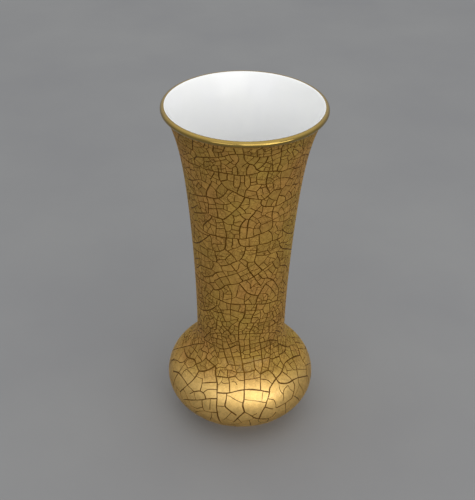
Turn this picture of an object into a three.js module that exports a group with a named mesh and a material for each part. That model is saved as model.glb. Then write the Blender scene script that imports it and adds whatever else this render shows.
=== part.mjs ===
// Crackle glaze vase: a tall trumpet neck on a low round bulb, with a rolled lip and a turned foot ring.
// The porcelain body is one hollow turned shell. Five fired coats cover it: a dark ground and a crackled
// gold coat outside, gilding over the lip, a white glaze inside and a clear glaze under the foot.
// Millimetres, +Z up. The origin is on the axis, at the plane that the foot stands on.
import * as THREE from 'three';

// Overall size and lip
const totalHeight = 280;
const rimDiameter = 122;
const lipThickness = 4.6; // diameter of the rolled lip
const lipTuck = 108; // degrees round the lip, down from its widest point, to where the neck meets it
const gildedOver = 105; // degrees round the lip, up from its widest point, to where the gilding ends

// Neck: a slow taper, then a mouth that flares late
const waistDiameter = 71.6;
const waistHeight = 83;
const taperGain = 14.3; // radius gained by the taper from waist to lip
const taperPower = 1.72;
const flarePower = 8.5; // a higher power flares later and more sharply

// Bulb
const bulbInset = 0.5; // the bulb's widest point stands this far inside the lip's
const bulbHeight = 33.6; // height of the widest point
const shoulderSwell = 25.1; // how far the widest point's upright direction carries up the shoulder
const shoulderDraw = 21.9; // how far the waist's upright direction carries down the shoulder

// Foot
const footDiameter = 72; // over the gold coat
const footHeight = 4.8; // from the standing plane to the belly
const footRingWidth = 4;
const footRecess = 3; // depth of the glazed hollow under the foot
const footEdge = 0.6; // bevel on both edges of the ring
const bareFoot = 1; // unglazed height above the standing plane

// Thicknesses
const bulbWall = 3.4; // the wall thins from here to the lip
const floorThickness = 4.5;
const groundCoat = 0.2;
const goldCoat = 0.25;
const glaze = 0.3; // white and clear glaze, and the gilded band of the lip
const coatGap = 0.01; // each coat's back stops this far short of what it lies on

// Facets
const facetsAround = 36; // a multiple of four, so that the widths are true along X and Y
const bellyRows = 4;
const shoulderRows = 6;
const neckRows = 7;
const rowCrowding = 1.7; // above 1 crowds the neck's rows towards the mouth
const filletRows = 3;

const radians = THREE.MathUtils.degToRad;
const bulbRadius = rimDiameter / 2 - bulbInset;
const waistRadius = waistDiameter / 2;
const footRadius = footDiameter / 2;
const coats = groundCoat + goldCoat;
const bareFootRadius = footRadius - coats;
const ringInnerRadius = bareFootRadius - footRingWidth;
const floorLevel = footRecess + floorThickness;

// Profile points: x is the radius, y the height. Lines run with the material on their left: out under
// the foot, up the outside, over the lip and down the inside.
function at(radius, height) {
  return new THREE.Vector2(radius, height);
}

function arc(centre, radius, fromAngle, toAngle, rows) {
  const clockwise = toAngle < fromAngle;
  const curve = new THREE.EllipseCurve(centre.x, centre.y, radius, radius, fromAngle, toAngle, clockwise);
  return curve.getPoints(rows);
}

// The direction that faces out of the material between two points of a line
function facing(from, to) {
  const along = to.clone().sub(from).normalize();
  return at(along.y, -along.x);
}

// Moves a line into its material by depth(point), with mitred corners
function inset(line, depth) {
  const sides = line.slice(1).map((point, i) => facing(line[i], point));
  return line.map((point, i) => {
    const before = sides[Math.max(i - 1, 0)];
    const after = sides[Math.min(i, sides.length - 1)];
    const mitre = before.clone().add(after).divideScalar(1 + before.dot(after));
    return point.clone().addScaledVector(mitre, -depth(point));
  });
}

// A coat's back, just short of what the coat lies on
function backOf(face, thickness) {
  return inset(face, () => thickness - coatGap);
}

// The rolled lip is a circle that touches the vase's full height and full width
const lipRadius = lipThickness / 2;
const lipCentre = at(rimDiameter / 2 - lipRadius, totalHeight - lipRadius);
const neckTop = arc(lipCentre, lipRadius, -radians(lipTuck), 0, 1)[0];

function bellyLine() {
  const footAngle = Math.acos(footRadius / bulbRadius);
  const depth = (bulbHeight - footHeight) / Math.sin(footAngle);
  return new THREE.EllipseCurve(0, bulbHeight, bulbRadius, depth, -footAngle, 0).getPoints(bellyRows);
}

function shoulderLine() {
  const curve = new THREE.CubicBezierCurve(
    at(bulbRadius, bulbHeight),
    at(bulbRadius, bulbHeight + shoulderSwell),
    at(waistRadius, waistHeight - shoulderDraw),
    at(waistRadius, waistHeight),
  );
  return curve.getPoints(shoulderRows);
}

function neckLine() {
  const flareGain = neckTop.x - waistRadius - taperGain;
  const line = [];
  for (let row = 0; row <= neckRows; row += 1) {
    const up = 1 - (1 - row / neckRows) ** rowCrowding;
    const radius = waistRadius + taperGain * up ** taperPower + flareGain * up ** flarePower;
    line.push(at(radius, waistHeight + (neckTop.y - waistHeight) * up));
  }
  return line;
}

// Outside of the gold coat, from its lower edge on the foot ring to the lip, and what lies under it
const aboveFoot = [...bellyLine(), ...shoulderLine().slice(1), ...neckLine().slice(1)];
const outside = [at(footRadius, bareFoot), ...aboveFoot];
const groundOutside = inset(outside, () => goldCoat);
const bodyOutside = inset(outside, () => coats);

// The inside of the wall runs tangent into the lip's round, which sets the wall's thickness there
const neckFacing = facing(outside.at(-2), outside.at(-1));
const lipWall = lipRadius + neckTop.clone().sub(lipCentre).dot(neckFacing);

function wallAt(point) {
  const up = THREE.MathUtils.clamp((point.y - bulbHeight) / (neckTop.y - bulbHeight), 0, 1);
  return THREE.MathUtils.lerp(bulbWall, lipWall, up);
}

// Round the corner from the wall to the level floor, and on to the axis
function floorLine(wallBefore, wallEnd) {
  const along = wallEnd.clone().sub(wallBefore).normalize();
  const toFloor = (floorLevel - wallEnd.y) / along.y;
  const corner = wallEnd.clone().addScaledVector(along, toFloor);
  const start = at(corner.x - toFloor, floorLevel);
  const curve = new THREE.QuadraticBezierCurve(wallEnd, corner, start);
  return [...curve.getPoints(filletRows).slice(1), at(0, floorLevel)];
}

// Over the lip, in three arcs that meet at its widest point and at its top
const gildedLip = [
  ...arc(lipCentre, lipRadius, -radians(lipTuck), 0, 3),
  ...arc(lipCentre, lipRadius, 0, Math.PI / 2, 2).slice(1),
  ...arc(lipCentre, lipRadius, Math.PI / 2, radians(gildedOver), 1).slice(1),
];
const inwardAngle = Math.atan2(-neckFacing.y, -neckFacing.x);
const whiteLip = arc(lipCentre, lipRadius, radians(gildedOver), inwardAngle, 2).slice(1);
const wallRows = Math.floor(bellyRows / 2);
const insideWall = inset(aboveFoot, wallAt).slice(wallRows).reverse();
const insideFloor = floorLine(insideWall.at(-2), insideWall.at(-1));
const lipAndInside = [...gildedLip, ...whiteLip, ...insideWall, ...insideFloor];
const bodyLipAndInside = inset(lipAndInside, () => glaze);
const backOfLipAndInside = backOf(lipAndInside, glaze);
const gildingEnd = gildedLip.length - 1;

// The hollow under the foot is level, and rounds down into the ring
const recessRound = footRecess - bareFoot;
const recessCentre = at(ringInnerRadius - glaze - recessRound, bareFoot);
const underFoot = [
  at(0, footRecess),
  ...arc(recessCentre, recessRound, Math.PI / 2, 0, filletRows),
];
const bodyUnderFoot = inset(underFoot, () => glaze);
const footRing = [
  at(ringInnerRadius, footEdge),
  at(ringInnerRadius + footEdge, 0),
  at(bareFootRadius - footEdge, 0),
  at(bareFootRadius, footEdge),
];

// A closed section between a coat's face and its back
function coatSection(face, back) {
  return [...face, ...back.slice().reverse(), face[0]];
}

function turned(name, section, { color, roughness, metalness }) {
  const geometry = new THREE.LatheGeometry(section, facetsAround);
  geometry.rotateX(Math.PI / 2);
  const mesh = new THREE.Mesh(geometry, new THREE.MeshStandardMaterial({ color, roughness, metalness }));
  mesh.name = name;
  return mesh;
}

const vase = new THREE.Group();
vase.name = 'crackle_glaze_vase';
vase.add(
  turned(
    'porcelain_body',
    [...bodyUnderFoot, ...footRing, ...bodyOutside, neckTop, ...bodyLipAndInside],
    { color: 0xe9e6dc, roughness: 0.6, metalness: 0 },
  ),
  turned(
    'ground_coat',
    coatSection(groundOutside, backOf(groundOutside, groundCoat)),
    { color: 0x3f2d14, roughness: 0.7, metalness: 0 },
  ),
  turned(
    'crackle_gold_coat',
    coatSection(outside, backOf(outside, goldCoat)),
    { color: 0x9a7b40, roughness: 0.42, metalness: 0.8 },
  ),
  turned(
    'rim_gilding',
    coatSection(gildedLip, backOfLipAndInside.slice(0, gildingEnd + 1)),
    { color: 0xc4a563, roughness: 0.2, metalness: 1 },
  ),
  turned(
    'inner_glaze',
    coatSection(lipAndInside.slice(gildingEnd), backOfLipAndInside.slice(gildingEnd)),
    { color: 0xf4f4f1, roughness: 0.12, metalness: 0 },
  ),
  turned(
    'foot_glaze',
    coatSection(underFoot, backOf(underFoot, glaze)),
    { color: 0xf0efe9, roughness: 0.15, metalness: 0 },
  ),
);

export default vase;
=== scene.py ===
"""The looks of the crackle glaze vase: gold plates parted by a net of cracks over a dark ground, a
burnished lip, a glossy white inside and a bare foot ring, on a grey floor in soft studio light."""

import heapq
import itertools
import math
import random

import bpy
import numpy as np
from mathutils import Matrix, Vector
from mathutils.geometry import delaunay_2d_cdt


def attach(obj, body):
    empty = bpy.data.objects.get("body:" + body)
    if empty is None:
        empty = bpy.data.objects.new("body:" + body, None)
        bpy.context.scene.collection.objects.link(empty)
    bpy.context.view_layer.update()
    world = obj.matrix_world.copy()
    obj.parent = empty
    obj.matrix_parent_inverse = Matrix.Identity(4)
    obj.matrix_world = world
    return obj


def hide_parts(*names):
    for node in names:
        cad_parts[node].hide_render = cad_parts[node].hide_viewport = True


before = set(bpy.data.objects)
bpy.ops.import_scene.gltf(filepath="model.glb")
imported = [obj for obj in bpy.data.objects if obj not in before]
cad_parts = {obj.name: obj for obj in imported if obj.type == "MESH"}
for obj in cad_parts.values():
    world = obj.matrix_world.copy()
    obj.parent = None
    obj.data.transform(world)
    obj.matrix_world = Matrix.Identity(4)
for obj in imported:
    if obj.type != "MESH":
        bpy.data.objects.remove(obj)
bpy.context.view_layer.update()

MM = 0.001
TURN = 2 * math.pi

# The vase's profile in millimetres, with the CAD model's own sizes
TOTAL_HEIGHT = 280.0
RIM_RADIUS = 61.0
LIP_RADIUS = 2.3
LIP_TUCK = 108.0
GILDED_OVER = 105.0
WAIST_RADIUS = 35.8
WAIST_HEIGHT = 83.0
TAPER_GAIN = 14.3
TAPER_POWER = 1.72
FLARE_POWER = 8.5
BULB_RADIUS = 60.5
BULB_HEIGHT = 33.6
SHOULDER_SWELL = 25.1
SHOULDER_DRAW = 21.9
FOOT_RADIUS = 36.0
FOOT_HEIGHT = 4.8
FOOT_RING_WIDTH = 4.0
FOOT_RECESS = 3.0
FOOT_EDGE = 0.6
FOOT_FILLET = 1.6  # the gold's soft corner between foot ring and belly
FILLET_SPREAD = 60.0  # that corner takes up FOOT_FILLET / FILLET_SPREAD of the belly's angle
BARE_FOOT = 1.0
BULB_WALL = 3.4
FLOOR_THICKNESS = 4.5
GOLD_COAT = 0.25
GROUND_COAT = 0.2
GLAZE = 0.3

FOOT_ANGLE = math.acos(FOOT_RADIUS / BULB_RADIUS)
BELLY_DEPTH = (BULB_HEIGHT - FOOT_HEIGHT) / math.sin(FOOT_ANGLE)
LIP_CENTRE = np.array([RIM_RADIUS - LIP_RADIUS, TOTAL_HEIGHT - LIP_RADIUS])
BARE_FOOT_RADIUS = FOOT_RADIUS - GOLD_COAT - GROUND_COAT
RING_INNER_RADIUS = BARE_FOOT_RADIUS - FOOT_RING_WIDTH
FLOOR_LEVEL = FOOT_RECESS + FLOOR_THICKNESS

# Steps along the curves of the outside, and millimetres between the points that are kept of it
BELLY_STEPS = 200
FILLET_STEPS = 20
SHOULDER_STEPS = 200
NECK_POINTS = 500
PROFILE_STEP = 0.25

# The photograph's camera, fitted to the rim, the neck and the bulb
PHOTO_SIZE = (475, 500)  # pixels
PHOTO_CENTRE = (PHOTO_SIZE[0] / 2, PHOTO_SIZE[1] / 2)
FOCAL_PIXELS = 1000.0
SENSOR_SIZE = 36.0  # millimetres along the photograph's longer side
CAMERA_AIM_HEIGHT = 278.25  # millimetres up the axis, in the lip's circle
CAMERA_DISTANCE = 724.2  # millimetres from there
CAMERA_ELEVATION = math.radians(25.35)
CAMERA_PITCH = math.radians(33.55)
CAMERA_YAW = math.radians(-0.325)
CAMERA_ROLL = math.radians(0.871)


def arc(centre, radius, start, end, count):
    """Points on a circle of a profile, angles in degrees from the outward direction."""
    angles = np.radians(np.linspace(start, end, count + 1))
    return np.stack([centre[0] + radius * np.cos(angles), centre[1] + radius * np.sin(angles)], -1)


def bezier(points, count):
    """Points on a Bezier curve of any degree."""
    t = np.linspace(0, 1, count + 1)[:, None]
    degree = len(points) - 1
    return sum(
        math.comb(degree, i) * t**i * (1 - t) ** (degree - i) * np.array(point)
        for i, point in enumerate(points)
    )


def facing(line):
    """Unit directions out of the material, at each point of a smooth line that has it on the left."""
    along = np.gradient(line, axis=0)
    along /= np.linalg.norm(along, axis=1)[:, None]
    return np.stack([along[:, 1], -along[:, 0]], -1)


def inset(line, depth):
    """A smooth line moved into its material."""
    return line - facing(line) * np.broadcast_to(depth, len(line))[:, None]


def evenly(line, spacing):
    """The line's points, spaced evenly along it."""
    run = np.concatenate([[0], np.cumsum(np.linalg.norm(np.diff(line, axis=0), axis=1))])
    at = np.linspace(0, run[-1], max(2, int(round(run[-1] / spacing)) + 1))
    return np.stack([np.interp(at, run, line[:, 0]), np.interp(at, run, line[:, 1])], -1)


def belly_curve(start, count):
    angles = np.linspace(start, 0, count + 1)
    return np.stack([BULB_RADIUS * np.cos(angles), BULB_HEIGHT + BELLY_DEPTH * np.sin(angles)], -1)


def upper_curve():
    """From the bulb's widest point up the shoulder and the neck to the lip."""
    below = [(BULB_RADIUS, BULB_HEIGHT), (BULB_RADIUS, BULB_HEIGHT + SHOULDER_SWELL)]
    above = [(WAIST_RADIUS, WAIST_HEIGHT - SHOULDER_DRAW), (WAIST_RADIUS, WAIST_HEIGHT)]
    shoulder = bezier(below + above, SHOULDER_STEPS)
    neck_top = arc(LIP_CENTRE, LIP_RADIUS, -LIP_TUCK, 0, 1)[0]
    up = np.linspace(0, 1, NECK_POINTS)[1:]
    flare_gain = neck_top[0] - WAIST_RADIUS - TAPER_GAIN
    radius = WAIST_RADIUS + TAPER_GAIN * up**TAPER_POWER + flare_gain * up**FLARE_POWER
    neck = np.stack([radius, WAIST_HEIGHT + (neck_top[1] - WAIST_HEIGHT) * up], -1)
    return np.concatenate([shoulder[1:], neck])


def outside_line():
    """Outside of the gold, from its edge on the foot ring to the lip."""
    belly = belly_curve(-FOOT_ANGLE * (1 - FOOT_FILLET / FILLET_SPREAD), BELLY_STEPS)
    corner = [(FOOT_RADIUS, FOOT_HEIGHT - FOOT_FILLET), (FOOT_RADIUS, FOOT_HEIGHT), belly[0]]
    parts = [[(FOOT_RADIUS, BARE_FOOT)], bezier(corner, FILLET_STEPS), belly[1:], upper_curve()]
    return evenly(np.concatenate(parts), PROFILE_STEP)


OUTSIDE = outside_line()
RUN = np.arange(len(OUTSIDE)) * PROFILE_STEP  # millimetres up the profile from the foot
RUN_END = RUN[-1]
OUTSIDE_FACING = facing(OUTSIDE)


def radius_at(run):
    return np.interp(run, RUN, OUTSIDE[:, 0])


def height_at(run):
    return np.interp(run, RUN, OUTSIDE[:, 1])


def run_at_height(height):
    return np.interp(height, OUTSIDE[:, 1], RUN)


def facing_at(run):
    return np.interp(run, RUN, OUTSIDE_FACING[:, 0]), np.interp(run, RUN, OUTSIDE_FACING[:, 1])


def scale_at(run):
    """What turns an angle and a run into millimetres across and up, there."""
    return np.array([float(radius_at(run)), 1.0])


def on_glaze(angle, run, depth):
    """Points in metres, at an angle from the front, a run up the profile and a depth under the gold."""
    out, up = facing_at(run)
    radius = radius_at(run) - depth * out
    height = height_at(run) - depth * up
    return np.stack([radius * np.sin(angle), -radius * np.cos(angle), height], -1) * MM


def glaze_facing(angle, run):
    """Unit normals of the gold's outside."""
    out, up = facing_at(run)
    normal = np.stack([out * np.sin(angle), -out * np.cos(angle), up], -1)
    return normal / np.linalg.norm(normal, axis=-1)[..., None]


# The camera

def camera_axes():
    """Right, up and forward of the photograph's camera."""
    level, down = math.cos(CAMERA_PITCH), math.sin(CAMERA_PITCH)
    forward = np.array([math.sin(CAMERA_YAW) * level, math.cos(CAMERA_YAW) * level, -down])
    aside = np.cross(forward, (0, 0, 1))
    aside /= np.linalg.norm(aside)
    upright = np.cross(aside, forward)
    right = math.cos(CAMERA_ROLL) * aside + math.sin(CAMERA_ROLL) * upright
    up = math.cos(CAMERA_ROLL) * upright - math.sin(CAMERA_ROLL) * aside
    return right, up, forward


CAMERA_BACK = CAMERA_DISTANCE * math.cos(CAMERA_ELEVATION)
CAMERA_HEIGHT = CAMERA_AIM_HEIGHT + CAMERA_DISTANCE * math.sin(CAMERA_ELEVATION)
CAMERA_PLACE = np.array([0.0, -CAMERA_BACK, CAMERA_HEIGHT])


def make_camera():
    right, up, forward = camera_axes()
    data = bpy.data.cameras.new("photo_camera")
    data.sensor_width = SENSOR_SIZE
    data.lens = FOCAL_PIXELS * SENSOR_SIZE / max(PHOTO_SIZE)
    data.clip_start = 0.01
    data.clip_end = 100.0
    camera = bpy.data.objects.new("photo_camera", data)
    axes = Matrix((right, up, -forward)).transposed()
    camera.matrix_world = Matrix.Translation(Vector(CAMERA_PLACE * MM)) @ axes.to_4x4()
    bpy.context.scene.collection.objects.link(camera)
    bpy.context.scene.camera = camera


make_camera()


# Materials

# The bulb's smoother, paler gold, by height in millimetres; its paler tone is partly a painted highlight.
# It is whole below its edge and gone above its top, and both lie lower at the vase's two sides, which
# paints shade there
SMOOTH_HIGHLIT_EDGE = 55
SMOOTH_HIGHLIT_TOP = 65
SIDE_SHADE_DROP = 10


class Nodes:
    """A node tree, with short calls that add to it."""

    def __init__(self, tree):
        self.nodes = tree.nodes
        self.links = tree.links

    def feed(self, node, inputs):
        """Gives each named or numbered input a socket, a number, a vector or a colour."""
        for name, value in inputs.items():
            socket = node.inputs[name]
            if isinstance(value, bpy.types.NodeSocket):
                self.links.new(value, socket)
            elif socket.type == "RGBA":
                socket.default_value = (*value, 1.0)
            else:
                socket.default_value = value

    def add(self, kind, output, inputs, **settings):
        """Adds a node and returns one of its outputs."""
        node = self.nodes.new(kind)
        for name, value in settings.items():
            setattr(node, name, value)
        self.feed(node, inputs)
        return node.outputs[output]

    def times(self, first, second):
        return self.add("ShaderNodeMath", 0, {0: first, 1: second}, operation="MULTIPLY")

    def remap(self, value, low, high, to_low=0.0, to_high=1.0):
        """Turns low to high into to_low to to_high, and holds the ends beyond them."""
        ends = {"From Min": low, "From Max": high, "To Min": to_low, "To Max": to_high}
        return self.add("ShaderNodeMapRange", "Result", {"Value": value, **ends})


class Shader(Nodes):
    """A material and its nodes."""

    def __init__(self, name):
        self.material = bpy.data.materials.new(name)
        self.material.use_nodes = True
        super().__init__(self.material.node_tree)
        self.place = self.add("ShaderNodeTexCoord", "Object", {})

    def set(self, **values):
        """Sets inputs of the surface; a name's underscores stand for spaces."""
        inputs = {name.replace("_", " "): value for name, value in values.items()}
        self.feed(self.nodes["Principled BSDF"], inputs)

    def noise(self, size_mm, detail=2.0, roughness=0.5, stretch=(1, 1, 1)):
        """Noise from 0 to 1 with features about size_mm across."""
        scale = [axis / (size_mm * MM) for axis in stretch]
        place = self.add("ShaderNodeMapping", "Vector", {"Vector": self.place, "Scale": scale})
        inputs = {"Vector": place, "Scale": 1.0, "Detail": detail, "Roughness": roughness}
        return self.add("ShaderNodeTexNoise", "Fac", inputs)

    def hairlines(self, size_mm, width_mm, sway_mm):
        """1 on the edges of cells about size_mm across, bent by noise, and 0 between them."""
        bends = {"Vector": self.place, "Scale": 1 / (2 * size_mm * MM)}
        sway = self.add("ShaderNodeTexNoise", "Color", bends)
        reach = {0: sway, 1: (2 * sway_mm * MM,) * 3, 2: self.place}
        bent = self.add("ShaderNodeVectorMath", 0, reach, operation="MULTIPLY_ADD")
        cells = {"Vector": bent, "Scale": 1 / (size_mm * MM)}
        edge = self.add("ShaderNodeTexVoronoi", "Distance", cells, feature="DISTANCE_TO_EDGE")
        return self.remap(edge, 0.3 * width_mm / size_mm, 0.6 * width_mm / size_mm, 1, 0)

    def bulb_gold_and_painted_light(self):
        """1 where the bulb's smoother gold, paler as a partly painted highlight, is whole and 0 above its
        top. Towards the two sides it ends lower, which paints shade on the shoulder there.
        """
        parts = self.nodes.new("ShaderNodeSeparateXYZ")
        self.feed(parts, {"Vector": self.place})
        x, _, z = parts.outputs
        # Painted shade: the drop grows with x squared, so the neck's darker gold reaches lower at the left
        # and right
        drop = {0: self.times(x, x), 1: SIDE_SHADE_DROP / (BULB_RADIUS**2 * MM), 2: z}
        raised = self.add("ShaderNodeMath", 0, drop, operation="MULTIPLY_ADD")
        return self.remap(raised, SMOOTH_HIGHLIT_TOP * MM, SMOOTH_HIGHLIT_EDGE * MM)

    def mix(self, factor, first, second):
        """Between two colours, each a tuple or a socket."""
        return self.add("ShaderNodeMix", 2, {0: factor, 6: first, 7: second}, data_type="RGBA")

    def bump(self, height, depth_mm):
        inputs = {"Strength": 1.0, "Distance": depth_mm * MM, "Height": height}
        self.set(Normal=self.add("ShaderNodeBump", "Normal", inputs))


def srgb(red, green, blue):
    """A colour given as it shows, 0 to 255, in linear light."""
    return tuple(
        (c / 255 / 12.92) if c / 255 <= 0.04045 else ((c / 255 + 0.055) / 1.055) ** 2.4
        for c in (red, green, blue)
    )


def crackle_gold_material():
    """Antique gold, smoother on the bulb and paler there, the paler tone partly a painted highlight, with
    painted shade at the shoulder's two sides. Its tones drift over the vase and differ a little between
    plates, and on the neck hairlines cross it in places."""
    m = Shader("crackle_gold")
    bulb = m.bulb_gold_and_painted_light()
    neck = m.remap(bulb, 0, 1, 1, 0)
    drift = m.remap(m.noise(42, detail=3), 0.36, 0.64)
    colour = m.mix(drift, srgb(206, 174, 87), srgb(212, 167, 93))
    plate = m.add("ShaderNodeNewGeometry", "Random Per Island", {})
    colour = m.mix(m.remap(plate, 0, 0.5, 0.4, 0), colour, srgb(154, 126, 56))
    colour = m.mix(m.remap(plate, 0.6, 1, 0, 0.35), colour, srgb(194, 146, 84))
    # Painted highlight, in part: the bulb's paler gold
    colour = m.mix(bulb, colour, srgb(248, 206, 124))
    mottle = m.remap(m.noise(2.6, detail=5, roughness=0.65), 0.38, 0.68, 0, 0.5)
    mottle = m.times(mottle, m.remap(neck, 0, 1, 0.6, 1))
    colour = m.mix(mottle, colour, srgb(150, 114, 50))
    patches = m.times(m.remap(m.noise(16, detail=2), 0.44, 0.58, 0, 0.6), neck)
    colour = m.mix(m.times(m.hairlines(3.4, 0.4, 1.2), patches), colour, srgb(126, 90, 34))
    specks = m.remap(m.noise(0.6, detail=2), 0.62, 0.72, 0, 0.35)
    colour = m.mix(specks, colour, srgb(112, 80, 34))
    rough = m.times(m.remap(m.noise(6, detail=3), 0.3, 0.7, 0.92, 1.08), m.remap(bulb, 0, 1, 0.76, 0.47))
    m.set(Base_Color=colour, Metallic=0.97, Roughness=rough, Specular_Tint=srgb(100, 84, 50))
    m.set(Coat_Weight=m.remap(bulb, 0, 1, 0.25, 0.45), Coat_Roughness=0.22, Coat_IOR=1.5)
    m.bump(m.noise(1.4, detail=3), 0.05)
    return m.material


def dark_ground_material():
    """The dark brown that shows in the cracks, glazed a little on the bulb."""
    m = Shader("dark_ground")
    tone = m.remap(m.noise(1.5, detail=3), 0.3, 0.7)
    m.set(Base_Color=m.mix(tone, srgb(92, 62, 14), srgb(112, 78, 24)), Metallic=0.6)
    m.set(Roughness=0.5, Specular_IOR_Level=0.1)
    m.set(Coat_Weight=m.remap(m.bulb_gold_and_painted_light(), 0, 1, 0, 0.2), Coat_Roughness=0.25, Coat_IOR=1.65)
    m.bump(m.noise(0.6, detail=2), 0.05)
    return m.material


def rim_gold_material():
    m = Shader("rim_gold")
    tone = m.remap(m.noise(14, detail=3, stretch=(1, 1, 3)), 0.35, 0.65)
    rough = m.remap(m.noise(8, detail=2), 0.3, 0.7, 0.15, 0.19)
    m.set(Base_Color=m.mix(tone, srgb(174, 146, 73), srgb(167, 138, 66)), Metallic=1.0, Roughness=rough)
    m.set(Coat_Weight=0.4, Coat_Roughness=0.1)
    return m.material


def white_glaze_material():
    m = Shader("white_glaze")
    tone = m.remap(m.noise(30, detail=3), 0.35, 0.65)
    rough = m.remap(m.noise(12, detail=3), 0.3, 0.7, 0.16, 0.24)
    m.set(Base_Color=m.mix(tone, srgb(249, 249, 247), srgb(247, 247, 247)), Roughness=rough, IOR=1.5)
    m.bump(m.noise(9, detail=2), 0.06)
    return m.material


def clear_glaze_material():
    m = Shader("clear_glaze")
    tone = m.remap(m.noise(9, detail=4), 0.35, 0.65)
    m.set(Base_Color=m.mix(tone, srgb(236, 234, 226), srgb(228, 225, 215)), Roughness=0.14, IOR=1.5)
    m.bump(m.noise(5, detail=2), 0.05)
    return m.material


def porcelain_material():
    m = Shader("bare_porcelain")
    wear = m.remap(m.noise(1.8, detail=5, roughness=0.65), 0.45, 0.75, 0, 0.7)
    rough = m.remap(m.noise(0.8, detail=3), 0.3, 0.7, 0.55, 0.72)
    m.set(Base_Color=m.mix(wear, srgb(226, 221, 207), srgb(190, 180, 160)), Roughness=rough)
    m.bump(m.noise(0.4, detail=3), 0.03)
    return m.material


GOLD = crackle_gold_material()
GROUND = dark_ground_material()
RIM_GOLD = rim_gold_material()
WHITE = white_glaze_material()
CLEAR = clear_glaze_material()
PORCELAIN = porcelain_material()


# Turned pieces

LATHE_STEPS = 280
SHARP_DEGREES = 35
ON_AXIS = 1e-6  # millimetres within which a point lies on the axis
GILDED_STEPS = 25
WHITE_LIP_STEPS = 6
INNER_BELLY_STEPS = 40
INNER_STEP = 2.0  # millimetres between the points of the inside
FLOOR_STEPS = 16
RECESS_STEPS = 10
RING_STEPS = 5
COAT_POINTS = slice(None, None, 8)  # the points of the outside that the ground and the body follow


def add_mesh(name, points, faces, material):
    mesh = bpy.data.meshes.new(name)
    mesh.from_pydata(points, [], faces)
    mesh.materials.append(material)
    mesh.update()
    piece = bpy.data.objects.new(name, mesh)
    bpy.context.scene.collection.objects.link(piece)
    return piece


def turned(name, section, material):
    """A closed section, in millimetres, turned about the axis. Points on the axis close it there."""
    section = [tuple(point) for point in section]
    angles = np.linspace(0, TURN, LATHE_STEPS, endpoint=False)
    points, rings = [], []
    for radius, height in section:
        if radius < ON_AXIS:
            rings.append([len(points)] * LATHE_STEPS)
            points.append((0.0, 0.0, height * MM))
            continue
        rings.append(list(range(len(points), len(points) + LATHE_STEPS)))
        points += [(radius * math.sin(a) * MM, -radius * math.cos(a) * MM, height * MM) for a in angles]
    faces = []
    for low, high in zip(rings, rings[1:] + rings[:1]):
        if low[0] == low[1] and high[0] == high[1]:
            continue
        for i in range(LATHE_STEPS):
            j = (i + 1) % LATHE_STEPS
            faces.append(tuple(dict.fromkeys((low[i], low[j], high[j], high[i]))))
    piece = add_mesh(name, points, faces, material)
    piece.data.shade_smooth()
    piece.data.set_sharp_from_angle(angle=math.radians(SHARP_DEGREES))
    return piece


def coat_section(face, back):
    return np.concatenate([face, back[::-1]])


def wall_at(height):
    """The wall's thickness. At the lip it lets the inside run tangent into the lip's round."""
    lip_wall = LIP_RADIUS + (OUTSIDE[-1] - LIP_CENTRE) @ OUTSIDE_FACING[-1]
    up = np.clip((height - BULB_HEIGHT) / (OUTSIDE[-1, 1] - BULB_HEIGHT), 0, 1)
    return BULB_WALL + (lip_wall - BULB_WALL) * up


def inside_line():
    """From the gilding's edge down the inside to the floor's middle."""
    inward = math.degrees(math.atan2(-OUTSIDE_FACING[-1, 1], -OUTSIDE_FACING[-1, 0]))
    lip = arc(LIP_CENTRE, LIP_RADIUS, GILDED_OVER, inward, WHITE_LIP_STEPS)
    outer = np.concatenate([belly_curve(-FOOT_ANGLE / 2, INNER_BELLY_STEPS), upper_curve()])
    wall = evenly(inset(outer, wall_at(outer[:, 1]))[::-1], INNER_STEP)
    along = wall[-1] - wall[-2]
    along /= np.linalg.norm(along)
    to_floor = (FLOOR_LEVEL - wall[-1, 1]) / along[1]
    corner = wall[-1] + along * to_floor
    fillet = bezier([wall[-1], corner, (corner[0] - to_floor, FLOOR_LEVEL)], FLOOR_STEPS)
    return np.concatenate([lip, wall, fillet[1:], [(0.0, FLOOR_LEVEL)]])


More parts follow.
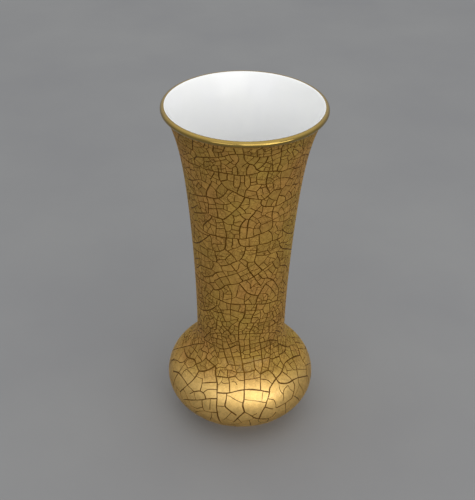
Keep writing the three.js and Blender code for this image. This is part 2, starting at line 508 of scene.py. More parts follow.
def make_turned_pieces():
    """The ground, the lip's gilding, the inside, the foot's glaze and the porcelain between them."""
    gilded = arc(LIP_CENTRE, LIP_RADIUS, -LIP_TUCK, GILDED_OVER, GILDED_STEPS)
    gilded_back = arc(LIP_CENTRE, LIP_RADIUS - GLAZE, -LIP_TUCK, GILDED_OVER, GILDED_STEPS)
    inside = inside_line()
    inside_back = inset(inside, GLAZE)
    inside_back[0] = gilded_back[-1]
    inside_back[-1] = (0.0, FLOOR_LEVEL - GLAZE)
    ground_face = inset(OUTSIDE, GOLD_COAT)[COAT_POINTS]
    body_face = inset(OUTSIDE, GOLD_COAT + GROUND_COAT)[COAT_POINTS]
    recess_round = FOOT_RECESS - BARE_FOOT
    recess_centre = (RING_INNER_RADIUS - GLAZE - recess_round, BARE_FOOT)
    under = np.concatenate([[(0.0, FOOT_RECESS)], arc(recess_centre, recess_round, 90, 0, RECESS_STEPS)])
    recess_back = arc(recess_centre, recess_round + GLAZE, 90, 0, RECESS_STEPS)
    under_back = np.concatenate([[(0.0, FOOT_RECESS + GLAZE)], recess_back])
    ring = arc((RING_INNER_RADIUS + FOOT_EDGE, FOOT_EDGE), FOOT_EDGE, 180, 270, RING_STEPS)
    ring_outside = arc((BARE_FOOT_RADIUS - FOOT_EDGE, FOOT_EDGE), FOOT_EDGE, -90, 0, RING_STEPS)
    body = np.concatenate([under_back, ring, ring_outside, body_face, gilded_back, inside_back[1:]])
    made = [
        ("dark_ground_coat", coat_section(ground_face, body_face), GROUND, "ground_coat", "dark_ground"),
        ("burnished_lip", coat_section(gilded, gilded_back), RIM_GOLD, "rim_gilding", "rim_gold"),
        ("white_inside", coat_section(inside, inside_back), WHITE, "inner_glaze", "white_glaze"),
        ("glazed_recess", coat_section(under, under_back), CLEAR, "foot_glaze", "clear_glaze"),
        ("porcelain_shell", body, PORCELAIN, "porcelain_body", "porcelain"),
    ]
    for name, section, material, node, slot in made:
        piece = turned(name, section, material)
        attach(piece, "root")
        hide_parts(node)


make_turned_pieces()


# The net of cracks, on the glaze laid out flat: x is the angle from the front, y the run along the profile

rng = random.Random(11)

# The usual width of a plate and of a main crack, in millimetres, at some heights on the vase
PLATE_HEIGHTS = (5, 14, 34, 46, 54, 62, 72, 84, 100, 130, 180, 230, 262, 277)
PLATE_SIZES = (9.0, 12.0, 12.5, 12.0, 9.5, 7.0, 5.2, 4.6, 4.7, 5.6, 6.1, 6.0, 5.3, 4.8)
CRACK_HEIGHTS = (5, 30, 48, 58, 66, 90, 277)
CRACK_WIDTHS = (0.84, 0.92, 0.86, 0.84, 0.92, 0.94, 0.96)

# How cracks are laid, in millimetres where nothing else is said
STEP = 1.6  # between a crack's points
SNAP = 1.8  # within which a traced crack's end runs on into its neighbour
REACH = 45.0  # looked around a point at the most
TRACED_HALF = 1.0  # radians from the front that the traced cracks cover
DIRECTIONS = 12  # lines tried through a point
CHOICE = (0.85, 1.2)  # chance in the choice between them
PLATE_SPREAD = (0.8, 1.25)  # chance in the width of a plate
NARROWEST = 0.25  # least share of a plate that is parted from the rest
LEAN = 0.16  # the most a crack sways to a side, as a share of its length
SWAY_PLACE = 0.55  # where it sways most, as a share of the way from its middle to its end
ONE_SIDED = 0.8  # share of the cracks' halves that sway to the same side
WOBBLE = 0.1  # of a grown crack's points
TRACED_WOBBLE = 0.06  # of a traced crack's points
TRACED_WIDTHS = (1.25, 1.0, 0.7)  # of wide, plain and fine ones, as shares of a main crack's width
LAST_WIDTH = 0.5  # of the last cracks, as such a share
WIDTH_GAIN = 0.16  # in that share, for each further plate in what a crack parts
WIDTH_SPREAD = (0.85, 1.15)  # chance in a crack's width
SWELLS = ((0.18, 5.3, 1), (0.12, 1.9, 2))  # a width's two swells: share of it, length over 2 pi, phase
DEAD_ENDS = 0.07  # share of the last cracks that stop inside a plate
DEAD_END_WIDTH = 0.15  # share of its width that such a crack ends with
SCATTER = 0.4  # chance in the place of a starting point, as a share of their spacing
EDGE_MARGIN = 0.5  # between the starting points and the glaze's edges
SPLITTING = ((2.5, 1.25), (0.9, 1.5))  # each round's spacing of starting points and limit, in plates
LOOK_SHARE = 1.2  # of a plate's length, within which a point looks for cracks, and LOOK_PAST beyond
LOOK_PAST = 6.0
TRY_AGAIN = 0.8  # share of the limit above which a part is tried again

# Long cracks off the front: how many start nearly level and how many steeply, in radians, and their length.
# Their bend at a step stays within MOST_BEND, and changes by up to BEND_CHANGE from one step to the next.
LEVEL_CRACKS = 20
OFF_LEVEL = 0.6
STEEP_CRACKS = 16
STEEPNESS = (1.1, 2.0)
LONG_CRACK = 110.0
MOST_BEND = 0.05
BEND_CHANGE = 0.02

# Cracks followed on the photograph, in its pixels. Each row is a crack, and a row that starts with a
# space goes on with the one above. They are wide, plain or fine.
WIDE_CRACKS = """
215,368 215.5,373 216.5,379 217.3,385 217,393 217,399 216.5,405 217,411 218,417 220,421.5
244.5,372.5 244.5,381 244.2,390 244,399 242.8,405 244.5,411.5
244.5,412 240,416 236.5,419.5 233,422.5
244.5,412 250,415 255,418 261,419 270,418 276,412
217.3,392.7 224,393.2 230,392.8 237,391 244,389.8 251,389.5 260,390.4 268.5,392
276,378.5 273,383 270,388 269,395 267,401 265,407 262,412 259.5,418
276,378.5 281,373 283,368 285,363 290,359 295,356.5 300,355
260.5,374 265,371.5 268.5,370.5 273,374 276,378.5
276,378.5 279,382.5 284,383.5 289,382.5 293,380 299,377.5 307.5,375.5
173,371 178,372.5 181,375.5 185,381 187.5,385
187.5,385 192,381 196,376 199,371
184,348 187.5,357 194,359.5 196,364 199,371
186,330 186.5,336 186,343.5
199,371 205,371 210,369 215,366
240.5,353 241.5,359 242.5,364 243,369 244.5,372.5
300,355 303,361 306,366 306.5,375
291,335 295,342 298,348 300,355
227,394 226,400 225,406 229,410 233,413 236.5,415.5
"""
PLAIN_CRACKS = """
194.5,159.5 196,157 204,157.5 216,157.5 223.5,156.5 231,154.5 242,154.5 250.5,156 256.5,157 265,157
 270.5,156 276.5,154 281,151.5
194.2,159.6 195.4,164.2 199.6,166.5 204.2,168.8 209.6,170 214.2,171.5 219.6,172.3 225.8,173.5 231.2,174.2
 237.3,175.4 246.5,175.4 252,174.2 257.3,173.5 260.8,171.5 268.8,171.5 275.8,171.2 280.4,171.5 284.2,170.8
 288,169.2 292.7,167.7 298,164.6
244.2,155 244.2,158.8 246.5,162 249.6,164.2 253,165 255.4,167.3 256.5,169.6 260.8,171.5
249.6,164.2 247.7,167.3 246.5,170.4 246.3,175.4
268,156.5 266.5,161.2 263.5,165 260,168 256.5,169.6
281.9,151.5 280.8,157.3 280.4,162.7 278,167.3 277.3,171.2
220.4,181.2 223.5,185.4 227.7,189.2 232.7,191.2 238,194.2 242.7,196.5 247.7,198 252.7,198.8 258.8,199.5
 262,199.8
262,199.8 265.8,198 270,194.2 274.2,190.4 279.6,189.2 282.7,188.5 285,186.5 285.8,183.8 288.5,180
 290.4,175.8 292.7,170.4 294.2,167.3
218.8,173.5 218.8,177.3 220.4,181.2
220.4,181.2 223.5,180.8 227,180
227.3,174.6 227,179.6
268.5,172 267,178 266.2,184.2 267.3,188 269.6,192 270.4,194.2
209.6,178.8 211.5,181.2 210.4,184.2 208,188 206.5,192 206.2,196.2 207.7,200.4 208.5,205.8 208.5,211.2
 209.2,214.2 213.5,216.5 218,218 223.5,219.6
223.5,219.6 227,217.3 231.2,213.8 235,210.4 238.8,207.3 242,202.7 244.6,198
185,191.2 189.6,193 195,195 200.4,196 206.2,196.4 209.6,197.7 214.2,198.5 218.8,198 222.7,196.2 225.8,192.7
 227.7,189.6
213,198.5 215,202.7 216.5,208.8 217.7,214.2 218,218
262,199.8 260.8,203.5 263,206.2 268,206.5 275.8,206.2 280.4,204.2 285,201.5 291.2,198 295.8,194.2
261,205.5 257.3,209.6 253.5,214.2 249.6,218.8 248,223.5 247.3,229.6 246.5,238.8
245.8,219.6 242.7,222.7 240.4,226.5 239.6,231.2 240,238.8
222.3,220 224.2,225.8 225.4,231.2 226.5,235 226,240 225.7,244.3 224.6,248.9 220.7,251 217,251.6 213.6,250.4
 208.6,248.6
274.2,206.5 272.7,211.2 272,216.5 272.7,222 272,228 268.5,230.4 262,233.5 257.3,235 252,237.3 246.5,238.5
 240.4,239.2 234.2,238.5 226.5,238 221.2,237.3 215.8,235.8 209.6,234.2 204.2,231.2 199.6,227.3
282.7,188.5 280.4,192.7 278,198 276.2,203.5 275.8,206.2
240.4,207 244.2,210.4 245.8,213.5
237.9,239.6 239.3,243.6 240.7,245.4 245.7,246.8 250.7,246.4 257,245.4 261.4,244.3 267.9,242.9 272,240.7
 277.9,239.3 282,236.4
245.7,246.8 245,250.7 243.6,255 241.4,258.6 238.6,260.7 234.3,262 230,264.3 225.7,265.4 220.7,266
224.6,248.9 228.6,252 232.9,255.7 236.4,261
257,245.4 256.8,250.7 255.7,256.4 254.6,262 258.6,266.4 262.5,270.4
241.4,259.3 245,260.4 247.9,262.5 247,265.7 248.6,270 251.4,273.6 253.6,276.8
276.4,252 277.5,256.4 272.9,262 268.6,265.7 262.5,270.4 257.9,273.9 253.6,276.8 248.6,279.6 242.9,281.4
 239.3,283.2 235,284.3 230,284.6 225,285.7 220.7,289 215,290
231.4,265 234.3,269.3 237.9,273.6 240,277 242.9,280.7
239.3,283.6 242.9,287.9 246.4,292 251.4,294.6 257,295.4
272.9,280 268.6,281.4 265.7,283.9 262.9,287.9 260,292.9 257.9,296.4 256.4,301.4 255.4,304.3
258.6,274.3 262.9,278.6 267,277.9 272.9,280 275.7,283.6 278.6,289.3 277.9,295.7 277.5,300
207,291.4 211.4,295.7 216.4,298.6 221.4,300.7 226.4,302.9 230,303.9 235.7,304.3 244.3,304.3 255.4,304.3
 265,303.9 270.7,302.5 277.5,300
257,304.6 255.4,310.7 253.2,315 251.4,319.3 251,322.9
245.7,305 245,310.7 244.6,314.3 242.9,318.6 240,322 238.9,326.4 238.6,335 239,342 240.5,353
214.6,251.4 215.7,255.7 217,260 216.4,262 212.9,261.4 213.2,265.7 211.4,269.3
212,276.4 215.7,272.9 220,272 223.2,271.8
217,300.7 216.8,305 220,308.6 222,313.6 224.3,319.3 225.7,321.8
273,263 275,267 277.9,268.2 280,265.7 279.6,260 277.5,256.4
279.3,240.7 280,245.7 282.9,249
204,339 209,342.5 215,345.5 219.5,348.5 225,349 231,347.5 237,345 242,346.5 250,344.5 257,343 263,342
 271,340 278,340
260.5,333.5 259.5,340 261,348 261.5,355 262.5,363 261.5,369 260.5,374
270,340 270.5,348 270,357 269,365 268,371
277,335 278,343 278.5,351 280.5,360 283,365
242.5,364 250,362.5 255,361 262.5,359 270,357
253.5,356.5 254,362 255,368 260,374
244.5,372.5 250,371.5 256,369.5
223.5,349 225,355 227,361 228.5,364.5
171,360 176,360 180.5,362.5 184.5,361 187.5,357
176,361 174,366 173,371
209,351 206,357 209,361 215,366 216.5,369
196,364 201,362 206,358
216.5,376 223,377 229,377.5 235,375.5
228.5,378 229.5,384 229.8,392
260.5,374 260.5,381 260.5,390.5
283,372 288,376 292,380 294.5,385 294,391 292,397
292.5,359 296,365 297,371 298,377
187.5,385 191.5,389 194,391.5 200,391 204.5,394.5 205.5,399
186,399.5 191,400 196,400 202,399.8 208,398.8 216.5,398.5
187.5,385 183,389 180.5,391.5
202.5,378.5 202,384 200.5,390.5
202.5,383 209,382.5 216.8,382.2
202,400 202.5,406 205,411 217,412.5
265,407 270,408.5 273.5,409
277,408 282,405 287,402 292,398
"""
FINE_CRACKS = """
256.9,150.4 257.7,156.9
271.9,149 271.2,155.8
280.8,159.6 284.2,159.2 287.3,157.7 288.8,155 292.7,151.5
287.3,157.7 288.5,162 288,167.3 287.3,169.2
268.8,163.5 272.3,163.8 272.7,167.3 272.7,171.2
272.7,165.8 276.5,163.8 280.4,162.7
228,151.5 229.2,155 231.2,158.8 234.2,161.5
220.4,151.2 221.9,156
212.7,151.2 215.8,157.3
207.3,150.4 210,157.3
237.3,154.6 238.8,158.8 238,162 235.4,165 237.3,168.8 237.7,175
211.5,165.8 212,169.6 213.8,171.5
211.5,165.8 216.5,165.4 218,168 218.5,172
218,157.7 220.8,161.5 220.8,167.3 221.5,172
203.5,163 204.2,168.8
225.4,167.3 226.5,173.5
232.3,167.7 232.3,174
242,167.3 244.2,165 247.3,163.5
227,180 231.2,181.2 233.8,182
234.2,175.8 233.8,181.2 233.5,185.8 235.4,188 238,187.7
240.4,175.8 240.4,182 239.6,185.8 238,189.6 236.5,193.5
240.4,182.7 244.2,183
244.6,175.8 244.6,183.5 245.4,186.5 247.3,188.5
249.2,175.8 250.4,179.6 250.4,184.2 249.2,187.3 245.8,190.4 244.6,196.5
258.5,174.2 256.5,178.8 257.3,184.2
257.3,184.2 262,184.6 266.2,184.2
266.2,184.2 270.4,183.8 273.5,182.3 277.3,179.2 282,178 287.3,177.7 292.7,178.8
281.2,172 280.4,178 280.8,184.2 280.4,188.8
273,183.5 274.6,188.8
262,186.2 259.2,188.8 256.5,192 257.3,195.8 258.8,198.8
194.2,180.4 198.5,179.6 203.5,181.2 210,185 213.5,188 216.5,191.2 219.6,193.5 222.7,195.8
196.5,180 200.4,185 205.8,189.6
220.4,183.5 217,188.8 216.5,194.2 217.3,198
208.5,204.2 215,204.6
208.5,208.5 216.5,208.5 222,208.8 226.5,210.4 232,212.7
232,192.7 227,197.3 230.4,202.7 234.2,206.5 237.3,208.5
235,195 233.5,200.4
230.4,202.3 237.3,201.5 241.2,203
216.5,202.7 222,204.6 230.4,204.2
223.5,205 223.5,209.2
227,204.6 227.3,210.4
231.2,215 235.8,216.5 240,214.6 245.8,213.5 251.2,213.5
240,214.6 242.7,217.3 245.8,219.2 248.8,219.2
249.6,198.8 248.8,206.5 246.2,210
252,215.8 256.5,218.5 259.6,222 260.8,225 259.6,228 261.2,232.7
240.4,226.5 245,227.7 249.6,227.7 253.5,228.8 259.6,228
232.7,215.8 234.2,219.6 233.5,225 240.4,226.5
224.2,221.2 227.3,224.2 231.2,224.6 233.5,225
231.5,224.6 231.5,228.8 229.6,231.2 226.5,231.5
231.2,228.8 235,230.4 239.6,230.4
214.2,217.3 215.8,222 216.2,228 215.8,235 216.5,239.6
215.8,222.7 222,222.3
216.2,228.5 223.5,228.5
238.8,234.2 235,234.6 234.2,238
268.5,197 272,199.6 277.3,200.4
280.4,195.4 285,196.5 285.8,200
291.2,187.3 287.3,193.5 285,196.5
285,185.8 290.4,185.4 292,181.2
273.5,211.2 278,212.7 278.8,216.5 275,218.8 266.5,222.7 260.8,225
278.8,216.5 283.5,214.2 288,212 292.7,208.8 296,205.5
291.2,198.8 290.4,205 289.6,211.2
262.7,206.2 262.7,210.4 261.2,215 264.2,215.4 268,212.7 271.2,211.5
250.4,208 254.2,210 258,211.2 262,212.7
264.2,215.4 258.8,218
272.7,221.2 277.3,222 282.7,222
283.5,215.8 283.8,222 282.3,228 282.7,235.8
268.5,230.4 272,234.2 272.7,240
272,234.2 277.3,230.8 282.7,229.6
209.3,235 211.4,239.3 211.4,244.3 213.2,249.3
211.4,244.3 216,244.3 218.6,249.3
227.9,250.4 232.9,249 237,247.9 240,245.7
232.5,240 232.5,244.3 231.4,246.4 232.9,249
249.3,239.3 249.3,246
259.3,235.7 259.6,244.3
230.7,254.3 226.4,257.9 225.4,260 227.9,263.6 230,264.3
247.9,262.5 254.6,262
246.4,254.3 256.4,253.9
246,250.4 256.8,250.4
257,252.5 262,252 267.9,250.4
270.7,242 269.3,247 267.5,249.6 270.7,254
256.4,255.7 262.9,255.4 270.7,254 275.7,251.8 282,251.4
269.3,255 265.7,259.3 263.6,262 258.6,266.4
263.6,262 267.5,266
220.7,266 222.9,271.4 225.7,275.7 228.6,280 230.4,284.3
216.4,262 218.6,263.6 220.7,266
207.9,248.6 207.9,254.3 208.6,257.9 212.9,261.4
217,259.6 225.7,259.6
215.7,255.7 223.6,256.4
219.3,277.9 225.7,276.4 231.4,275 237.9,272.9 242.9,270.7 247,268.2
240,277 245.7,274.3 250.7,272
211.4,269.3 215.7,272.9 219.3,277.9 221.4,281.4 224.3,285.7
214.3,280.7 217,285 220.7,289
214.3,280.7 219.3,278.2
220.7,289 223.6,292.9 222.5,300.7
227.5,285 230,290 231.8,295 231,303.6
246.4,280.7 250.7,285 250,289
254.3,277 257,281.4 261.4,286
250,289 254.3,285 256.4,283.6 261.4,286
265.7,283.9 269.3,286.4 272.9,290.7 275.7,294.3
260.4,293.6 267.9,294.6 265.7,303.6
230.7,304 230.4,310 230.7,315.7 231,320.7
237.5,290 236.8,294.3 235.7,297 232,299
235.7,297 240,298.6 244.3,299.3
246.4,292.9 244.6,296.4 244.3,304.3
245,314.3 253.2,314.3
245.4,310.7 255.4,310.4 262,309.6
242.9,318 251.4,318.6
226.4,303.6 226.8,308.6
221.4,310 230,309.6
265.7,304 262.9,309.3 265,313.6 270,312 275.7,310.4
269.3,304.3 270,312
217,320.4 225.7,321.8 231,320.7 235.7,319.6 240,322 244.3,323.6 251,323 257.9,322.9 265,321.8 272,320
259.6,310.7 260.7,315 259,322.9
249.5,331 249.5,340 250,344
210,334 219,333 229,335 238.5,334.5 249.5,333.5 260.5,333.5 270,332.5 276,332.5
230.5,348.5 232,355 234,361 235,365
236.5,349 239,352.5 243,352 245,347.5
213,345 215,349 217,355 219,358 225,357.5 231,357 240.5,356.5
241.5,359 248,358 255,356 261.5,355
225,365 229,364.5 235,365.5 240.5,365
205,341 202.5,348 199,350 196,357 194.5,360
215,355 210,360 209,361
214,355 217,358 218,363 215,366
184,350 180.5,356 178,360
181,375.5 184,371 187.5,368 185,363 184.5,361
187.5,368 192,367 196,364
187,370 191,373.5 194,376.5
216,369 220,367 225,368 227,365
219.5,370.5 218,375
220,370 227,370 231.5,370.5 235,374
235,372 239,372.5 244.5,372.5
235,376 239,380 244,380.5
244.5,379.5 252,379 259.5,377
261,379 267,380 271,383
297,369 306,369
290,345 295,345 298,348 305,349
278.5,382 280,390 283.5,395 283,401
287.5,385 284,390 283.5,395
288,385 290,389 293,392
268,399 273,399.5 275.5,403 276,408
217.5,406 225,406.5
231.5,381.5 235,382 237,385
195.5,375.5 200,378 202.5,378.5
204,373 204.5,378
203.5,391.5 208,389.5 216.5,389.5
194,391.5 195.5,399
194,391.5 189.5,394
210.5,400 210,410
183,388.5 185.2,392.3 187,397 189.2,402 191,405.5
191,405.5 196.5,408.3 202.5,407
195.5,411.5 200.5,411 205,411
180,391.8 180.8,395.5 183,399.5 186,399.5
252,416 257,413.5
245,399.5 251,400.5 257,401 265,402.5
239,419 242,423
"""


def plate_size(run):
    """The usual width of a plate there."""
    return float(np.interp(height_at(run), PLATE_HEIGHTS, PLATE_SIZES))


def crack_width(run):
    """The width of a main crack there."""
    return np.interp(height_at(run), CRACK_HEIGHTS, CRACK_WIDTHS)


def wrap(angle):
    return (angle + math.pi) % TURN - math.pi


CELLS_AROUND = 40
CELL_ANGLE = TURN / CELLS_AROUND
CELL_RUN = 7.0
MOST_STRETCHES = 60000


class Net:
    """Every crack laid so far, as straight stretches in cells, and the finished lines with their widths."""

    def __init__(self):
        self.starts = np.zeros((MOST_STRETCHES, 2))
        self.ends = np.zeros((MOST_STRETCHES, 2))
        self.count = 0
        self.lines = []
        self.cells = {}

    def add(self, line, widths):
        """Lays a crack. A line without widths only bounds the others."""
        n = len(line) - 1
        self.starts[self.count : self.count + n] = line[:-1]
        self.ends[self.count : self.count + n] = line[1:]
        for i, (angle, run) in enumerate(line[:-1].tolist()):
            cell = int((angle + math.pi) / CELL_ANGLE) % CELLS_AROUND, int(run / CELL_RUN)
            self.cells.setdefault(cell, []).append(self.count + i)
        self.count += n
        if widths is not None:
            self.lines.append((np.array(line), np.array(widths)))

    def near(self, here, reach):
        """The stretches around a point, in millimetres across and up from it."""
        scale = scale_at(here[1])
        wide = int(reach / scale[0] / CELL_ANGLE) + 1
        high = int(reach / CELL_RUN) + 1
        column, row = int((here[0] + math.pi) / CELL_ANGLE), int(here[1] / CELL_RUN)
        chosen = []
        for i in range(column - wide, column + wide + 1):
            for j in range(row - high, row + high + 1):
                chosen += self.cells.get((i % CELLS_AROUND, j), ())
        a, b = self.starts[chosen], self.ends[chosen]
        across = wrap(a[:, 0] - here[0])
        other = across + b[:, 0] - a[:, 0]
        ends = ((across, a), (other, b))
        return [np.stack([angle, end[:, 1] - here[1]], -1) * scale for angle, end in ends]


net = Net()
TINY = 1e-12  # stands for nothing where something is divided by it
AHEAD = 1e-9  # least distance at which a stretch is met
SLACK = 1e-6  # share of a stretch by which it counts as longer


def cast(a, b, directions):
    """How far a straight line runs from the middle in each direction before it meets a stretch."""
    e = b - a
    turn = np.outer(directions[:, 0], e[:, 1]) - np.outer(directions[:, 1], e[:, 0])
    turn[np.abs(turn) < TINY] = TINY
    far = (a[:, 0] * e[:, 1] - a[:, 1] * e[:, 0]) / turn
    share = (np.outer(directions[:, 1], a[:, 0]) - np.outer(directions[:, 0], a[:, 1])) / turn
    far[(far < AHEAD) | (share < -SLACK) | (share > 1 + SLACK)] = REACH
    return np.minimum(far.min(axis=1), REACH)


def nearest(a, b, point):
    """The nearest point to point on any stretch."""
    e = b - a
    share = np.clip(((point - a) * e).sum(1) / np.maximum((e * e).sum(1), TINY), 0, 1)
    on = a + e * share[:, None]
    return on[np.argmin(((on - point) ** 2).sum(1))]


def smooth_path(points, step):
    """A rounded line through a few points, in steps of about step."""
    points = np.array(points, float)
    padded = np.concatenate([[2 * points[0] - points[1]], points, [2 * points[-1] - points[-2]]])
    line = [points[:1]]
    for p0, p1, p2, p3 in zip(padded, padded[1:], padded[2:], padded[3:]):
        count = max(1, int(round(math.dist(p1, p2) / step)))
        t = (np.arange(1, count + 1) / count)[:, None]
        square = 2 * p0 - 5 * p1 + 4 * p2 - p3
        cube = 3 * p1 - p0 - 3 * p2 + p3
        line.append(0.5 * (2 * p1 + (p2 - p0) * t + square * t**2 + cube * t**3))
    return np.concatenate(line)


def wobbled(line, amount):
    """A line in millimetres with small bends at its inner points."""
    bends = np.array([(rng.uniform(-amount, amount), rng.uniform(-amount, amount)) for _ in line])
    bends[[0, -1]] = 0
    return line + bends


def uneven(width, count):
    """Widths that swell and narrow along a crack."""
    phase = rng.uniform(0, TURN)
    run = np.arange(count) * STEP
    return width * (1 + sum(share * np.sin(run / long + turns * phase) for share, long, turns in SWELLS))


def split(here, reach, limit, size):
    """Parts the plate around a point across its long way, if that is longer than limit.

    Returns the middles of the two parts with their lengths, or nothing where the plate is small enough."""
    a, b = net.near(here, reach)
    start = rng.uniform(0, math.pi)
    angles = start + np.arange(2 * DIRECTIONS) * math.pi / DIRECTIONS
    directions = np.stack([np.cos(angles), np.sin(angles)], -1)
    far = cast(a, b, directions)
    chord = far[:DIRECTIONS] + far[DIRECTIONS:]
    best = int(np.argmin(chord * [rng.uniform(*CHOICE) for _ in range(DIRECTIONS)]))
    ways = [(best + turns * DIRECTIONS // 2) % (2 * DIRECTIONS) for turns in (1, 3)]
    across = far[ways].sum()
    if across < limit or far[ways].min() < NARROWEST * across or chord[best] >= 2 * REACH:
        return ()
    lean = rng.uniform(-LEAN, LEAN) * chord[best]
    sides = []
    for side in (best, best + DIRECTIONS):
        ahead = directions[side] * far[side] * SWAY_PLACE
        aside = directions[ways[0]] * (lean if rng.random() < ONE_SIDED else -lean)
        sides.append((ahead + aside, nearest(a, b, ahead + aside)))
    share = min(1.0, LAST_WIDTH + WIDTH_GAIN * (across / size - 1))
    width = share * rng.uniform(*WIDTH_SPREAD) * float(crack_width(here[1]))
    path = [sides[0][1], sides[0][0], sides[1][0], sides[1][1]]
    dead_end = across < 2 * size and rng.random() < DEAD_ENDS
    if dead_end:
        path.pop()
    line = wobbled(smooth_path(path, min(STEP, chord[best] / 4)), WOBBLE)
    scale = np.array([1 / radius_at(here[1]), 1.0])
    widths = uneven(width, len(line))
    if dead_end:
        widths = widths * np.linspace(1, DEAD_END_WIDTH, len(line))
    net.add(line * scale + here, widths)
    return [(here + directions[way] * far[way] / 2 * scale, max(far[way], chord[best])) for way in ways]


def scattered(spacing):
    """Points all over the glaze, about spacing times a plate's width apart."""
    points = []
    run = EDGE_MARGIN
    while run < RUN_END:
        gap = spacing * plate_size(run)
        around = max(6, int(TURN * radius_at(run) / gap))
        shift = rng.random()
        for i in range(around):
            angle = wrap((i + shift + rng.uniform(-SCATTER, SCATTER)) * TURN / around)
            place = run + rng.uniform(-SCATTER, SCATTER) * gap
            points.append(np.array([angle, min(RUN_END - EDGE_MARGIN, max(EDGE_MARGIN, place))]))
        run += gap
    return points


def part_plates(starts, limit):
    """Splits plates, the widest first, until each is at most about limit times its usual width."""
    order = itertools.count()
    queue = [(-REACH, next(order), here) for here in starts]
    heapq.heapify(queue)
    while queue:
        length, _, here = heapq.heappop(queue)
        if not 0 < here[1] < RUN_END:
            continue
        size = plate_size(here[1]) * rng.uniform(*PLATE_SPREAD)
        reach = min(REACH, LOOK_PAST - LOOK_SHARE * length)
        for middle, across in split(here, reach, size * limit, size):
            middle[0] = wrap(middle[0])
            if across > size * limit * TRY_AGAIN:
                heapq.heappush(queue, (-across, next(order), middle))


# A ray of the camera is tried for the glaze in even steps between these distances, in millimetres, and the
# step that meets it is halved again and again
RAY_NEAR = 520.0
RAY_FAR = 900.0
RAY_STEPS = 1520
RAY_HALVINGS = 20


def seen_at(pixel):
    """The angle and run on the glaze that the photograph shows at a pixel, or None beside the vase."""
    right, up, forward = camera_axes()
    ray = (
        forward
        + right * (pixel[0] - PHOTO_CENTRE[0]) / FOCAL_PIXELS
        - up * (pixel[1] - PHOTO_CENTRE[1]) / FOCAL_PIXELS
    )
    far = np.linspace(RAY_NEAR, RAY_FAR, RAY_STEPS + 1)
    on_ray = CAMERA_PLACE + ray * far[:, None]
    radius = np.hypot(on_ray[:, 0], on_ray[:, 1])
    within = radius < np.interp(on_ray[:, 2], OUTSIDE[:, 1], OUTSIDE[:, 0], left=0, right=0)
    first = int(np.argmax(within))
    if not within[first]:
        return None
    low, high = far[first - 1], far[first]
    for _ in range(RAY_HALVINGS):
        middle = (low + high) / 2
        x, y, z = CAMERA_PLACE + ray * middle
        if math.hypot(x, y) < np.interp(z, OUTSIDE[:, 1], OUTSIDE[:, 0]):
            high = middle
        else:
            low = middle
    x, y, z = CAMERA_PLACE + ray * high
    return np.array([math.atan2(x, -y), run_at_height(z)])


def trace_cracks():
    """Lays the cracks that were followed on the photograph, each end run on into a neighbour close by."""
    lines = []
    for cracks, share in zip((WIDE_CRACKS, PLAIN_CRACKS, FINE_CRACKS), TRACED_WIDTHS):
        for row in cracks.replace("\n ", " ").strip().splitlines():
            places = [seen_at([float(number) for number in pair.split(",")]) for pair in row.split()]
            lines.append((np.array([place for place in places if place is not None]), share))
    for i, (line, _) in enumerate(lines):
        for end in (0, -1):
            here = line[end].copy()
            scale = scale_at(here[1])
            others = [(other - here) * scale for j, (other, _) in enumerate(lines) if j != i]
            a = np.concatenate([other[:-1] for other in others])
            b = np.concatenate([other[1:] for other in others])
            on = nearest(a, b, np.zeros(2))
            if np.linalg.norm(on) < SNAP:
                line[end] = here + on / scale
    for line, share in lines:
        scale = scale_at(line[:, 1].mean())
        smooth = wobbled(smooth_path(line * scale, STEP), TRACED_WOBBLE) / scale
        net.add(smooth, uneven(1, len(smooth)) * share * crack_width(smooth[:, 1]))


def wander(here, heading):
    """A long crack that drifts over the glaze. It ends at the glaze's edge, or where it meets another crack
    after its first third or among the traced ones."""
    place = np.array(here, float)
    line = [place]
    bend = rng.uniform(-BEND_CHANGE, BEND_CHANGE)
    for i in range(int(LONG_CRACK / STEP)):
        bend = min(max(bend + rng.uniform(-BEND_CHANGE, BEND_CHANGE), -MOST_BEND), MOST_BEND)
        heading += bend
        step = np.array([math.cos(heading), math.sin(heading)])
        scale = scale_at(place[1])
        a, b = net.near((wrap(place[0]), place[1]), STEP * 2)
        far = cast(a, b, step[None])[0] if len(a) else REACH
        ends = far <= STEP and (i > LONG_CRACK / STEP / 3 or abs(wrap(place[0])) < TRACED_HALF)
        place = place + step * (far if ends else STEP) / scale
        line.append(place)
        if ends or not 0 < place[1] < RUN_END:
            break
    line = np.array(line)
    line[:, 1] = line[:, 1].clip(0, RUN_END)
    line[:, 0] -= TURN * round(line[:, 0].mean() / TURN)
    if len(line) > 3:
        net.add(line, uneven(1, len(line)) * crack_width(line[:, 1]))


def off_front():
    """An angle beyond the traced cracks."""
    return rng.choice((-1, 1)) * rng.uniform(TRACED_HALF, math.pi)


EDGE_POINTS = 181


def make_net():
    """Lays the glaze's two edges, the traced cracks, the long ones and those that part the plates."""
    edge = np.linspace(-math.pi, math.pi, EDGE_POINTS)
    for run in (0.0, RUN_END):
        net.add(np.stack([edge, np.full_like(edge, run)], -1), None)
    trace_cracks()
    for _ in range(LEVEL_CRACKS):
        place = (off_front(), rng.uniform(0.25, 1) * RUN_END)
        wander(place, rng.choice((0, math.pi)) + rng.uniform(-OFF_LEVEL, OFF_LEVEL))
    for _ in range(STEEP_CRACKS):
        place = (off_front(), rng.uniform(0.1, 0.9) * RUN_END)
        wander(place, rng.choice((-1, 1)) * rng.uniform(*STEEPNESS))
    for spacing, limit in SPLITTING:
        part_plates(scattered(spacing), limit)


# Plates

